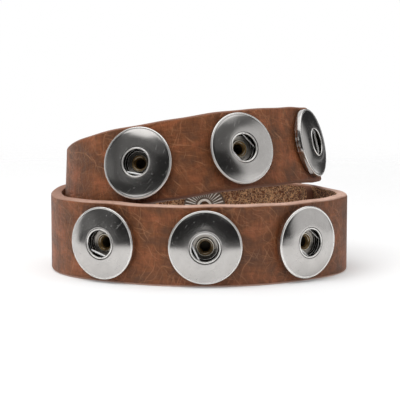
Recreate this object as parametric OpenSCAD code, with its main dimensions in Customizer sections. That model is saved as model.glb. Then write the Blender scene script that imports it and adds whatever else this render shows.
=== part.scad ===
// Double-wrap leather snap bracelet, standing on the lower edge of its lower wrap.
// +Z is up, +X runs to the right along the front and -Y is the front, all in millimetres.

/* [Strap] */
// Width of the strap
strap_w = 20; // [19:0.5:20]
// Thickness of the leather
strap_t = 2.8; // [2.4:0.1:2.8]
// Rounding of the two edges on the grain side
grain_round = 0.7; // [0.4:0.1:0.9]
// Bevel of the two edges on the flesh side
flesh_bevel = 0.3; // [0.2:0.1:0.4]
// Radius of the corners at the two cut ends
end_round = 1.8; // [1:0.2:3]

/* [Snap sockets] */
// Outer radius of a socket's rim
socket_r = 9.05; // [8.8:0.05:9.1]
// Radius of the step between the rim and the leather
step_r = 8.4; // [8:0.1:8.5]
// Height of the rim above the leather
rim_h = 2.05; // [1.9:0.05:2.1]
// Height of the hole's lip above the leather
lip_h = 3.15; // [3.1:0.05:3.3]
// Radius of the hole that takes a snap button's stud
hole_r = 3.5; // [3.4:0.05:3.55]
// Length of the hole's straight wall
hole_wall = 0.7; // [0.6:0.05:0.7]

/* [Springs] */
// Radius of the spring wire
wire_r = 0.25; // [0.24:0.01:0.3]
// Distance from the hole's axis to each straight wire
wire_off = 2.75; // [2.7:0.05:2.8]
// Radius of the spring's round ends
wire_bend = 3.85; // [3.85:0.01:3.87]

/* [Rivets] */
// Outer radius of a rivet's tube
tube_r = 2; // [1.9:0.05:2.1]
// Radius of the cup in its rolled end
tube_cup_r = 1.8; // [1.7:0.05:1.8]
// Depth of the cup below the leather's grain side
tube_cup_depth = 0.8; // [0.6:0.1:1.2]
// Radius of the blind bore below the cup
tube_bore_r = 1.25; // [1.1:0.05:1.4]
// Radius of a rivet's flange on the flesh side
flange_r = 5.8; // [5.2:0.1:5.8]
// Thickness of the flange
flange_t = 0.5; // [0.4:0.1:0.6]

/* [Closure] */
// Number of raised rays on the inner flange
rays = 34; // [24:1:36]
// Radius of the hidden snap's stud between the two strap ends
stud_r = 4.6; // [4:0.1:4.6]
// Radius of the hidden snap's post through the outer end
post_r = 1.5; // [1.3:0.1:1.6]
// Radius of the hidden snap's cap
cap_r = 5.4; // [5:0.1:5.4]
// Height of that cap
cap_h = 1.1; // [0.9:0.1:1.1]

/* [Hidden] */
$fn = 64;
gap = 0.2;
e = 0.02;

X = 0;
Y = 1;
Z = 2;
LEAN = 3;

// The strap's middle line is a uniform cubic B-spline over these guide points. It starts at the
// inner end, runs twice round and stops at the outer end, one unit of travel for each row.
// x, y, height of the middle line, lean of the grain side above level in degrees
ROUTE = [
  [37, -3, 10, 0],
  [32, 10.3, 10.1, 0],
  [14.5, 22.5, 11, 0],
  [1, 26, 13.8, 0],
  [-16, 24.5, 16.3, 0],
  [-30.5, 15.5, 18.4, 0],
  [-35.4, 2, 20.8, 2],
  [-31, -10.5, 24.5, 6],
  [-18.8, -20.2, 28.4, 12],
  [-3, -24, 31.3, 13],
  [13.5, -15, 32.8, 14],
  [24, -6, 33, 15],
  [31, 5.5, 31.8, 13],
  [29.3, 20.9, 30.9, 9],
  [15.4, 32.1, 26.5, 4],
  [-4, 35, 19.2, 0],
  [-23, 28.5, 13.6, 0],
  [-36.7, 14.5, 10.4, 0],
  [-38.7, -2.5, 10, 0],
  [-33.3, -15.3, 10, 0],
  [-22.5, -24.3, 10, 0],
  [-1, -32.5, 10, 0],
  [17.5, -28, 10, 0],
  [32, -17, 10, 0],
  [39.3, -4, 10, 0],
  [34.6, 13, 10, 0],
  [16.5, 26.7, 10.7, 0],
  [-4.5, 30.9, 14.4, 0],
  [-27.5, 25.8, 17.8, 0],
  [-42, 13, 19.5, 0]
];
travel_end = 26.2;
// Shift that puts the middle of the bracelet's box over the origin
centre = [0.15, -0.53];

// name, travel to the socket, turn of its spring from upright in degrees
NAME = 0;
AT = 1;
TURN = 2;
SOCKETS = [
  ["up_left", 7.26, 71],
  ["up_mid", 8.78, 37],
  ["up_right", 10.66, 5],
  ["low_left", 18.87, 73],
  ["low_mid", 20.15, 25],
  ["low_right", 21.56, 51]
];
// travel to the closure on the inner end and on the outer end
close_in = 1.91;
close_out = 25.68;

// half length of the flat leather under a rigid piece, and how far its bend reaches
flat_half = 4.5;
flat_reach = 13;

// Weights of the four guide points round a place t within a span, and their two derivatives
function pull(t) = [pow(1 - t, 3), 3*t*t*t - 6*t*t + 4, -3*t*t*t + 3*t*t + 3*t + 1, t*t*t] / 6;
function pull_1(t) = [-(1 - t)*(1 - t), 3*t*t - 4*t, -3*t*t + 2*t + 1, t*t] / 2;
function pull_2(t) = [1 - t, 3*t - 2, 1 - 3*t, t];

function span(u) = min(max(floor(u), 0), len(ROUTE) - 4);
function guides(u) = [for (k = [0:3]) ROUTE[span(u) + k]];
function route(u) = pull(u - span(u)) * guides(u);
function route_1(u) = pull_1(u - span(u)) * guides(u);
function route_2(u) = pull_2(u - span(u)) * guides(u);

function plan(p) = [p[X], p[Y]];
function unit(v) = v / norm(v);
function total(v, i = 0) = i == len(v) ? [0, 0] : v[i] + total(v, i + 1);

// Station of a rigid piece: its travel, plan point, plan direction, outward side and plan bend
function station(u) =
  let (a = route_1(u), b = route_2(u), v = norm(plan(a)))
  [u, plan(route(u)), plan(a) / v, [a[Y], -a[X]] / v, (a[X]*b[Y] - a[Y]*b[X]) / pow(v, 3)];

STATIONS = [for (u = concat([for (s = SOCKETS) s[AT]], [close_in, close_out])) station(u)];

// Shift that lays the middle line flat round one station and bends it harder beside it
function flat_shift(s, u, p) =
  let (
    d = (plan(p) - s[1]) * s[2],
    hard = s[4] * flat_reach / (flat_reach - flat_half),
    level = (s[4] * pow(flat_reach, 2) - hard * pow(flat_reach - flat_half, 2)) / 2
  )
  abs(u - s[0]) > 1.5 || abs(d) > flat_reach
    ? [0, 0]
    : ((s[4]*d*d - hard * pow(max(0, abs(d) - flat_half), 2)) / 2 - level) * s[3];

function middle(u) =
  let (p = route(u), shift = centre + total([for (s = STATIONS) flat_shift(s, u, p)]))
  [p[X] + shift[X], p[Y] + shift[Y], p[Z]];

// Frame of the strap: point on the middle line, direction, outward side, and across to the top edge
SPOT = 0;
ALONG = 1;
OUT = 2;
ACROSS = 3;
function frame(u) =
  let (
    along = unit(middle(u + e) - middle(u - e)),
    level = unit([along[Y], -along[X], 0]),
    up = cross(level, along),
    lean = route(u)[LEAN]
  )
  [middle(u), along, level*cos(lean) + up*sin(lean), up*cos(lean) - level*sin(lean)];

// Outline of the strap's cut across, as [out, across] pairs from the bottom flesh edge round
function half_section(half) = [
  [-strap_t/2, -half + flesh_bevel],
  [-strap_t/2 + flesh_bevel, -half],
  [strap_t/2 - grain_round, -half],
  [strap_t/2 - grain_round*(1 - sin(45)), -half + grain_round*(1 - cos(45))],
  [strap_t/2, -half + grain_round]
];
function section(half) =
  let (low = half_section(half))
  concat(low, [for (k = [len(low) - 1:-1:0]) [low[k][0], -low[k][1]]]);

// travel and half width of each cut across, narrowed round the corners of both ends
end_turns = [0, 30, 60];
function end_cut(a) = [end_round*(1 - cos(a)), strap_w/2 - end_round*(1 - sin(a))];
speed_in = norm(route_1(0));
speed_out = norm(route_1(travel_end));
trim = 0.14;
cuts = 180;
CUTS = concat(
  [for (a = end_turns) [end_cut(a)[0] / speed_in, end_cut(a)[1]]],
  [for (k = [0:cuts]) [trim + k * (travel_end - 2*trim) / cuts, strap_w/2]],
  [for (a = [for (k = [2:-1:0]) end_turns[k]]) [travel_end - end_cut(a)[0] / speed_out, end_cut(a)[1]]]
);

module swept_strap() {
  sides = len(section(1));
  points = [
    for (c = CUTS) let (f = frame(c[0])) for (q = section(c[1])) f[SPOT] + q[0]*f[OUT] + q[1]*f[ACROSS]
  ];
  last = (len(CUTS) - 1) * sides;
  walls = [
    for (c = [0:len(CUTS) - 2]) for (k = [0:sides - 1])
      let (a = c*sides + k, b = c*sides + (k + 1) % sides)
      each [[a, b, b + sides], [a, b + sides, a + sides]]
  ];
  ends = [[for (k = [sides - 1:-1:0]) k], [for (k = [0:sides - 1]) last + k]];
  polyhedron(points, concat(walls, ends));
}

// Stands its children on a strap frame, their +Z outwards, at a height above the middle line
module on_strap(f, height) {
  out = f[OUT];
  translate(f[SPOT] + out*height) rotate([0, acos(out[Z]), atan2(out[Y], out[X])]) children();
}

module strap_hole(f, r) {
  on_strap(f, -strap_t/2 - 0.5) cylinder(h = strap_t + 1, r = r);
}

module strap() {
  color("#8b5a3c") difference() {
    swept_strap();
    for (s = SOCKETS) strap_hole(frame(s[AT]), tube_r + 0.15);
    strap_hole(frame(close_in), tube_r + 0.15);
    strap_hole(snap_frame(), post_r + 0.25);
  }
}

// A socket's heights are measured from the leather's grain side
floor_top = gap + 0.15;
hole_top = lip_h - 0.1;
groove_top = hole_top - hole_wall;
groove_low = groove_top - 0.95;
groove_r = wire_bend + wire_r + 0.32;
wire_z = groove_top - 0.18 - wire_r;

// Height of the domed face at a radius
face_in = hole_r + 0.7;
face_out = socket_r - 0.45;
function face_z(r) =
  rim_h + (lip_h - 0.15 - rim_h) * (pow(face_out, 2) - r*r) / (pow(face_out, 2) - pow(face_in, 2));

function socket_profile() = concat(
  [[tube_r + 0.15, gap], [step_r, gap], [step_r, 0.55], [socket_r - 0.2, 0.6], [socket_r, 0.8]],
  [[socket_r, rim_h - 0.2], [socket_r - 0.08, rim_h - 0.04], [socket_r - 0.25, rim_h + 0.02]],
  [for (k = [0:8]) let (r = face_out + (face_in - face_out) * k/8) [r, face_z(r)]],
  [[hole_r + 0.45, lip_h - 0.03], [hole_r + 0.25, lip_h], [hole_r + 0.07, lip_h - 0.03]],
  [[hole_r, hole_top], [hole_r, groove_top], [groove_r, groove_top], [groove_r, groove_low]],
  [[hole_r + 0.1, groove_low], [hole_r + 0.1, 1], [hole_r - 0.5, 0.9], [hole_r - 0.5, floor_top]],
  [[tube_r + 0.15, floor_top]]
);

module socket(s) {
  color("#c9c9c6") on_strap(frame(s[AT]), strap_t/2) rotate_extrude() polygon(socket_profile());
}

// A spring is a wire loop with two straight wires, which grip the stud's neck
module spring(s) {
  reach = sqrt(pow(wire_bend, 2) - pow(wire_off, 2));
  bend = 2 * atan2(wire_off, reach) + 6;
  color("#d8d8d4") on_strap(frame(s[AT]), strap_t/2 + wire_z) rotate(s[TURN]) {
    for (side = [-1, 1]) {
      translate([-reach - 0.1, side * wire_off, 0])
        rotate([0, 90, 0]) cylinder(h = 2*reach + 0.2, r = wire_r);
    }
    for (turn = [0, 180]) rotate(turn - bend/2)
      rotate_extrude(angle = bend) translate([wire_bend, 0]) circle(r = wire_r);
  }
}

// Flange on the flesh side and outer wall of its tube, up to a height
function rivet_wall(inner, top) = [
  [inner, -strap_t - gap - flange_t],
  [flange_r - 0.2, -strap_t - gap - flange_t],
  [flange_r, -strap_t - gap - flange_t + 0.15],
  [flange_r, -strap_t - gap - 0.1],
  [flange_r - 0.15, -strap_t - gap],
  [tube_r, -strap_t - gap],
  [tube_r, top]
];

// A rivet's tube passes through the leather and its rolled end holds the socket's floor
module rivet(s) {
  roll = floor_top + 0.1;
  blind = -strap_t - gap;
  color("#8c7d4a") on_strap(frame(s[AT]), strap_t/2) rotate_extrude() polygon(concat(
    rivet_wall(0, roll),
    [[tube_r + 0.35, roll], [tube_r + 0.35, roll + 0.1], [tube_r, roll + 0.25], [tube_cup_r, roll + 0.2]],
    [[tube_cup_r, -tube_cup_depth], [tube_bore_r, -tube_cup_depth], [tube_bore_r, blind], [0, blind]]
  ));
}

// The closure's inner flange has a raised ring and rays on the side that faces the wrist
module closure_flange() {
  face = -strap_t - gap - flange_t;
  bore = tube_r - 0.5;
  color("#a9a79f") on_strap(frame(close_in), strap_t/2) {
    rotate_extrude() polygon(concat(rivet_wall(bore, -0.05), [[bore, -0.05]]));
    rotate_extrude() translate([bore, face - 0.35]) square([0.6, 0.6]);
    for (k = [0:rays - 1]) rotate(k * 360/rays)
      translate([bore + 1.1, -0.13, face - 0.18]) cube([flange_r - bore - 1.5, 0.26, 0.3]);
  }
}

// The hidden snap sits between the two strap ends and holds the outer one with its cap
function snap_frame() =
  let (a = frame(close_in), b = frame(close_out), d = (b[SPOT] - a[SPOT]) * a[OUT])
  [a[SPOT] + d*a[OUT], a[ALONG], a[OUT], a[ACROSS]];

module closure_snap() {
  between = (frame(close_out)[SPOT] - frame(close_in)[SPOT]) * frame(close_in)[OUT] - strap_t;
  under_cap = between + strap_t + 0.28;
  color("#a9a79f") on_strap(frame(close_in), strap_t/2) rotate_extrude() polygon([
    [0, 0.2], [stud_r, 0.2], [stud_r, between - 0.25], [post_r, between - 0.25],
    [post_r, under_cap], [cap_r, under_cap], [cap_r, under_cap + cap_h*0.4],
    [cap_r*0.85, under_cap + cap_h*0.75], [cap_r*0.5, under_cap + cap_h*0.95], [0, under_cap + cap_h]
  ]);
}

strap();
for (s = SOCKETS) socket(s);
for (s = SOCKETS) spring(s);
for (s = SOCKETS) rivet(s);
closure_flange();
closure_snap();
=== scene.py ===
"""Looks of a double-wrap leather snap bracelet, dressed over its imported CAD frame.

The strap is one band of waxed cowhide that runs twice round. Six nickel snap sockets sit on the
front of its two wraps, and a hidden snap holds its two ends. Sizes in the classes are millimetres,
the meshes are metres, and everything lies in the CAD frame: +Z up, +X right, -Y the front.
"""

import logging
import math
from dataclasses import dataclass
from enum import Enum
from typing import Any, Callable

import bmesh
import bpy
import numpy as np
from bpy.types import Material, Node, NodeSocket, NodeTree, Object
from mathutils import Matrix, Vector


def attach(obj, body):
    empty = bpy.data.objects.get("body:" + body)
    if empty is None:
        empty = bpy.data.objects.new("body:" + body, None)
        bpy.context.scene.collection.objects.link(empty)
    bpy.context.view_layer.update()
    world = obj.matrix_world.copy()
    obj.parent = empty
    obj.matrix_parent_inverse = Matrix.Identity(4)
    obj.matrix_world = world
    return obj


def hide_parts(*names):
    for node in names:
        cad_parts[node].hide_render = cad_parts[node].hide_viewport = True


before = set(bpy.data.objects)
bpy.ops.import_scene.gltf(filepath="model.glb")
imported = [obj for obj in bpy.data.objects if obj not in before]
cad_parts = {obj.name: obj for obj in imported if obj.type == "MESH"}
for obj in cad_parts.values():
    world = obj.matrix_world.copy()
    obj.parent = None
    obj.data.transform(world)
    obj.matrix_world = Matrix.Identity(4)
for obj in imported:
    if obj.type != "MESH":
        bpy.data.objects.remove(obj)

log = logging.getLogger("bracelet")

MM = 0.001
MERGED = 0.002 * MM

# x, y, height of the middle line and lean of the grain side, one row for each unit of travel
GUIDE_ROWS = (
    (37, -3, 10, 0), (32, 10.3, 10.1, 0), (14.5, 22.5, 11, 0), (1, 26, 13.8, 0),
    (-16, 24.5, 16.3, 0), (-30.5, 15.5, 18.4, 0), (-35.4, 2, 20.8, 2), (-31, -10.5, 24.5, 6),
    (-18.8, -20.2, 28.4, 12), (-3, -24, 31.3, 13), (13.5, -15, 32.8, 14), (24, -6, 33, 15),
    (31, 5.5, 31.8, 13), (29.3, 20.9, 30.9, 9), (15.4, 32.1, 26.5, 4), (-4, 35, 19.2, 0),
    (-23, 28.5, 13.6, 0), (-36.7, 14.5, 10.4, 0), (-38.7, -2.5, 10, 0), (-33.3, -15.3, 10, 0),
    (-22.5, -24.3, 10, 0), (-1, -32.5, 10, 0), (17.5, -28, 10, 0), (32, -17, 10, 0),
    (39.3, -4, 10, 0), (34.6, 13, 10, 0), (16.5, 26.7, 10.7, 0), (-4.5, 30.9, 14.4, 0),
    (-27.5, 25.8, 17.8, 0), (-42, 13, 19.5, 0),
)

# a step without a hard end
SOFT_STEP = {"interpolation_type": "SMOOTHSTEP"}
# a mapping whose scale is the size that one mark gets
STRETCH = {"vector_type": "TEXTURE"}
# the middle of a noise's range, where most of its values lie
NOISE_SPAN = {"From Min": 0.3, "From Max": 0.7}

Profile = list[tuple[float, float]]
Settings = dict[str | int, Any]
Layer = tuple[Settings, float, float, float]


class Slot(Enum):
    """Material slots of the record, one for each kind of piece."""

    LEATHER = "leather"
    SOCKET = "socket_metal"
    SPRING = "spring_steel"
    RIVET = "rivet_brass"
    CLOSURE = "closure_metal"


class StrapFace(Enum):
    """Faces of the leather band, in the order of its material slots."""

    GRAIN = 0
    CUT = 1
    FLESH = 2


def linear(code: str) -> tuple[float, float, float, float]:
    """Turns an sRGB hex colour to linear RGBA.

    Args:
        code: The colour as "#rrggbb".

    Returns:
        Linear red, green and blue with an alpha of one.
    """
    parts = [int(code[i : i + 2], 16) / 255 for i in (1, 3, 5)]
    r, g, b = (c / 12.92 if c <= 0.04045 else ((c + 0.055) / 1.055) ** 2.4 for c in parts)
    return (r, g, b, 1.0)


def fill(node: Node, settings: Settings) -> None:
    """Sets a node's properties and inputs, and links the inputs that other nodes feed.

    Args:
        node: The node to fill.
        settings: By property or input, a value, a "#rrggbb" colour or the output socket that feeds
            it; "stops" holds the places and colours of a ramp.
    """
    for key, value in settings.items():
        if isinstance(value, str) and value.startswith("#"):
            value = linear(value)
        if key == "stops":
            ramp = node.color_ramp.elements
            while len(ramp) < len(value):
                ramp.new(0.5)
            for stop, (place, code) in zip(ramp, value):
                stop.position = place
                stop.color = linear(code)
        elif isinstance(value, NodeSocket):
            node.id_data.links.new(value, node.inputs[key])
        elif isinstance(key, str) and hasattr(node, key):
            setattr(node, key, value)
        else:
            node.inputs[key].default_value = value


def add_node(
    tree: NodeTree, kind: str, settings: Settings | None = None, output: int | str = 0
) -> NodeSocket | None:
    """Adds one node with its settings and links.

    Args:
        tree: The node tree that takes it.
        kind: The node's type, without "ShaderNode" before it.
        settings: What is filled into it.
        output: The output that is wanted.

    Returns:
        That output of the new node, or nothing where the node has no outputs.
    """
    node = tree.nodes.new("ShaderNode" + kind)
    fill(node, settings or {})
    return node.outputs[output] if node.outputs else None


def new_material(name: str) -> tuple[Material, NodeTree, Node]:
    """Makes an empty material with its shader wired to the output.

    Args:
        name: The material's name.

    Returns:
        The material, its node tree and its Principled shader.
    """
    material = bpy.data.materials.new(name)
    material.use_nodes = True
    tree = material.node_tree
    tree.nodes.clear()
    surface = add_node(tree, "BsdfPrincipled")
    add_node(tree, "OutputMaterial", {"Surface": surface})
    return material, tree, surface.node


def contours(tree: NodeTree, at: NodeSocket, width: float, noise: Settings) -> NodeSocket:
    """Draws wandering lines, the contours of a noise at its middle height.

    Args:
        tree: The material's nodes.
        at: Coordinates in millimetres.
        width: The lines' half width, as a share of the noise's range.
        noise: The noise's own settings.

    Returns:
        One on a line and zero off it.
    """
    off = add_node(tree, "TexNoise", {"Vector": at, "Detail": 1.5, **noise})
    off = add_node(tree, "Math", {"operation": "SUBTRACT", 0: off, 1: 0.5})
    off = add_node(tree, "Math", {"operation": "ABSOLUTE", 0: off})
    fall = {"From Max": width, "To Min": 1.0, "To Max": 0.0}
    return add_node(tree, "MapRange", {**SOFT_STEP, "Value": off, **fall})


def islands(tree: NodeTree, at: NodeSocket, layers: list[Layer]) -> NodeSocket:
    """Draws marks where noises stand high, each noise drawn out in a direction of its own.

    Args:
        tree: The material's nodes.
        at: Coordinates that the marks are laid in.
        layers: The mapping of each noise, its detail, and where its marks start and are full.

    Returns:
        One on a mark and zero off it.
    """
    total = 0.0
    for mapping, detail, start, full in layers:
        drawn = add_node(tree, "Mapping", {**STRETCH, "Vector": at, **mapping})
        noise = add_node(tree, "TexNoise", {"Vector": drawn, "Scale": 1.0, "Detail": detail})
        rise = {"Value": noise, "From Min": start, "From Max": full}
        mark = add_node(tree, "MapRange", {**SOFT_STEP, **rise})
        total = add_node(tree, "Math", {"operation": "MAXIMUM", 0: total, 1: mark})
    return total


@dataclass(frozen=True)
class WaxedGrain:
    """Grain side of pull-up cowhide, waxed, milled and left matt.

    The eye gets a rust brown that drifts to olive brown every few millimetres, a fine grid of
    creases along and across the band, and a few pale straight strokes where the wax was scratched.
    """

    deep: str = "#653F27"
    body: str = "#794727"
    pale: str = "#925432"
    stroke: str = "#C28A62"
    drift_stops: tuple[float, float, float] = (0.33, 0.5, 0.68)
    sway_mm: tuple[float, float] = (7.142857, 1.6)
    vein_mm: float = 9.0
    vein_width: float = 0.014
    wrinkle_mm: float = 2.6
    wrinkle_width: float = 0.04
    crease_mm: tuple[float, float] = (0.42, 4.5)
    stroke_mm: tuple[float, float] = (8.0, 0.34)
    stroke_rise: tuple[float, float] = (0.665, 0.75)
    slants: tuple[float, ...] = (-62.0, -47.0, -20.0, 68.0)
    patch_rise: tuple[float, float] = (0.4, 0.57)
    mark_strength: float = 0.34
    gloss: tuple[float, float] = (0.64, 0.5)
    relief_mm: float = 0.24
    swings: tuple[tuple[str, float], ...] = (
        ("cloud", 0.11), ("mottle", 0.14), ("upright", 0.16), ("level", 0.13), ("speck", 0.08),
    )
    reliefs: tuple[tuple[str, float], ...] = (
        ("pore", 0.45), ("vein", -0.35), ("wrinkle", -0.15), ("mottle", 0.7), ("level", 0.8),
    )

    def patterns(self, tree: NodeTree) -> dict[str, NodeSocket]:
        """Draws every pattern of the grain, in the band's own flat coordinates.

        Args:
            tree: The material's nodes.

        Returns:
            The patterns by name, as values of about zero to one.
        """
        flat = add_node(tree, "Attribute", {"attribute_name": "flat"}, "Vector")
        apart, wide = self.sway_mm
        sway = add_node(tree, "TexNoise", {"Vector": flat, "Scale": 1 / apart, "Detail": 2.0}, "Color")
        reach = {1: (2 * wide, 2 * wide, 0.0), 2: (-wide, -wide, 0.0)}
        shift = add_node(tree, "VectorMath", {"operation": "MULTIPLY_ADD", 0: sway, **reach})
        bent = add_node(tree, "VectorMath", {"operation": "ADD", 0: flat, 1: shift})
        drawn = {}
        # name, coordinates, size in millimetres, detail, roughness, distortion
        for name, at, size, detail, rough, twist in (
            ("cloud", bent, 14.0, 3.0, 0.55, 0.4),
            ("drift", bent, 5.0, 3.0, 0.5, 0.5),
            ("mottle", flat, 1.5, 5.0, 0.62, 0.4),
            ("speck", flat, 0.5, 2.0, 0.6, 0.0),
            ("pore", flat, 0.45, 3.0, 0.6, 0.0),
            ("patch", flat, 12.5, 1.0, 0.5, 0.0),
        ):
            look = {"Detail": detail, "Roughness": rough, "Distortion": twist}
            drawn[name] = add_node(tree, "TexNoise", {"Vector": at, "Scale": 1 / size, **look})
        low, high = self.patch_rise
        rise = {"Value": drawn["patch"], "From Min": low, "From Max": high}
        drawn["patch"] = add_node(tree, "MapRange", {**SOFT_STEP, **rise})
        for name, size, width in (
            ("vein", self.vein_mm, self.vein_width), ("wrinkle", self.wrinkle_mm, self.wrinkle_width),
        ):
            drawn[name] = contours(tree, bent, width, {"Scale": 1 / size, "Roughness": 0.45})
        narrow, long = self.crease_mm
        for name, size in (("upright", (narrow, long, 1.0)), ("level", (long, narrow, 1.0))):
            crease = add_node(tree, "Mapping", {**STRETCH, "Vector": bent, "Scale": size})
            look = {"Scale": 1.0, "Detail": 2.0, "Roughness": 0.55}
            drawn[name] = add_node(tree, "TexNoise", {"Vector": crease, **look})
        layers = []
        for index, slant in enumerate(self.slants):
            mapping = {
                "Location": (7.0 * index, 31.0 * index, 5.0 * index),
                "Rotation": (0.0, 0.0, math.radians(slant)), "Scale": (*self.stroke_mm, 1.0),
            }
            layers.append((mapping, 1.0, *self.stroke_rise))
        drawn["stroke"] = islands(tree, bent, layers)
        return drawn

    def build(self) -> Material:
        """Builds the material.

        Returns:
            The material, which reads the band's own flat coordinates in millimetres.
        """
        material, tree, shader = new_material("waxed_cowhide_grain")
        drawn = self.patterns(tree)
        stops = tuple(zip(self.drift_stops, (self.deep, self.body, self.pale)))
        tone = add_node(tree, "ValToRGB", {"Fac": drawn["drift"], "stops": stops})
        for name, swing in self.swings:
            span = {**NOISE_SPAN, "To Min": 1 - swing, "To Max": 1 + swing}
            shade = add_node(tree, "MapRange", {"Value": drawn[name], **span})
            tone = add_node(tree, "VectorMath", {"operation": "SCALE", 0: tone, "Scale": shade})
        marks = drawn["wrinkle"]
        for step in (
            {"operation": "MULTIPLY_ADD", 1: 0.35, 2: drawn["vein"]},
            {"operation": "MULTIPLY", 1: drawn["patch"]},
            {"operation": "MULTIPLY_ADD", 1: 0.65, 2: drawn["stroke"]},
            {"operation": "MULTIPLY", 1: self.mark_strength, "use_clamp": True},
        ):
            marks = add_node(tree, "Math", {**step, 0: marks})
        tone = add_node(tree, "Mix", {"data_type": "RGBA", 0: marks, 6: tone, 7: self.stroke}, 2)
        dull, shiny = self.gloss
        span = {**NOISE_SPAN, "To Min": dull, "To Max": shiny}
        gloss = add_node(tree, "MapRange", {"Value": drawn["mottle"], **span})
        height = drawn["upright"]
        for name, weight in self.reliefs:
            step = {0: drawn[name], 1: weight, 2: height}
            height = add_node(tree, "Math", {"operation": "MULTIPLY_ADD", **step})
        relief = {"Strength": 0.7, "Distance": self.relief_mm * MM}
        bump = add_node(tree, "Bump", {**relief, "Height": height})
        fill(shader, {"Base Color": tone, "Roughness": gloss, "Normal": bump})
        return material


@dataclass(frozen=True)
class CutEdge:
    """Side of the cowhide where the knife left it, undyed but for what the wax carried in.

    The eye gets a pale pinkish tan with fine fibres that run along the band.
    """

    pale: str = "#D8B3A1"
    dark: str = "#AE8976"
    darker_edge: str = "#7E523C"
    fibre_mm: float = 0.35
    cloud_mm: float = 8.333333
    relief_mm: float = 0.12
    # the grain side's rounding is burnished darker, and the edge is also darker along the band below a
    # length: where each starts, where it is full, and its largest share
    rubbed_height: tuple[float, float, float] = (1.15, 1.4, 0.6)
    darkened_length: tuple[float, float, float] = (325.0, 258.0, 0.85)

    def build(self) -> Material:
        """Builds the material.

        Returns:
            The material, which reads the band's own flat coordinates in millimetres.
        """
        material, tree, shader = new_material("knife_cut_cowhide_edge")
        flat = add_node(tree, "Attribute", {"attribute_name": "flat"}, "Vector")
        size = (4 * self.fibre_mm, self.fibre_mm, self.fibre_mm)
        drawn = add_node(tree, "Mapping", {**STRETCH, "Vector": flat, "Scale": size})
        look = {"Scale": 1.0, "Detail": 4.0, "Roughness": 0.65}
        fibre = add_node(tree, "TexNoise", {"Vector": drawn, **look})
        cloud = add_node(tree, "TexNoise", {"Vector": flat, "Scale": 1 / self.cloud_mm, "Detail": 2.0})
        blend = add_node(tree, "Math", {"operation": "MULTIPLY_ADD", 0: cloud, 1: 0.5, 2: fibre})
        stops = ((0.5, self.dark), (0.95, self.pale))
        tone = add_node(tree, "ValToRGB", {"Fac": blend, "stops": stops})
        along, _, height = add_node(tree, "SeparateXYZ", {"Vector": flat}).node.outputs
        share = 0.0
        marks = ((height, self.rubbed_height), (along, self.darkened_length))
        for value, (start, full, most) in marks:
            rise = {"Value": value, "From Min": start, "From Max": full, "To Max": most}
            rubbed = add_node(tree, "MapRange", {**SOFT_STEP, **rise})
            share = add_node(tree, "Math", {"operation": "MAXIMUM", 0: share, 1: rubbed})
        tone = add_node(tree, "Mix", {"data_type": "RGBA", 0: share, 6: tone, 7: self.darker_edge}, 2)
        relief = {"Strength": 0.5, "Distance": self.relief_mm * MM}
        bump = add_node(tree, "Bump", {**relief, "Height": fibre})
        fill(shader, {"Base Color": tone, "Roughness": 0.7, "Normal": bump})
        return material


@dataclass(frozen=True)
class SplitSuede:
    """Flesh side of the cowhide, split and left rough.

    The eye gets short matted fibres like worms about a millimetre apart, light tan on dark brown.
    """

    light: str = "#E3AE7D"
    middle: str = "#935F3C"
    dark: str = "#4A2614"
    fibre_mm: float = 1.75
    fibre_width: float = 0.055
    nap_mm: float = 0.3846154
    relief_mm: float = 0.45
    layer_shift: tuple[float, float, float] = (40.0, 40.0, 0.0)

    def build(self) -> Material:
        """Builds the material.

        Returns:
            The material, which reads the band's own flat coordinates in millimetres.
        """
        material, tree, shader = new_material("split_cowhide_suede")
        flat = add_node(tree, "Attribute", {"attribute_name": "flat"}, "Vector")
        moved = add_node(tree, "VectorMath", {"operation": "ADD", 0: flat, 1: self.layer_shift})
        curl = {"Scale": 1 / self.fibre_mm, "Distortion": 1.4}
        over, under = (contours(tree, at, self.fibre_width, curl) for at in (flat, moved))
        worms = add_node(tree, "Math", {"operation": "MAXIMUM", 0: over, 1: under})
        nap = add_node(tree, "TexNoise", {"Vector": flat, "Scale": 1 / self.nap_mm, "Detail": 3.0})
        pile = add_node(tree, "Math", {"operation": "MULTIPLY_ADD", 0: nap, 1: 0.9, 2: worms})
        stops = ((0.3, self.dark), (0.62, self.middle), (1.0, self.light))
        tone = add_node(tree, "ValToRGB", {"Fac": pile, "stops": stops})
        relief = {"Strength": 1.0, "Distance": self.relief_mm * MM}
        bump = add_node(tree, "Bump", {**relief, "Height": pile})
        matt = {"Roughness": 0.95, "Sheen Weight": 0.15}
        fill(shader, {"Base Color": tone, **matt, "Normal": bump})
        return material


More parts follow.
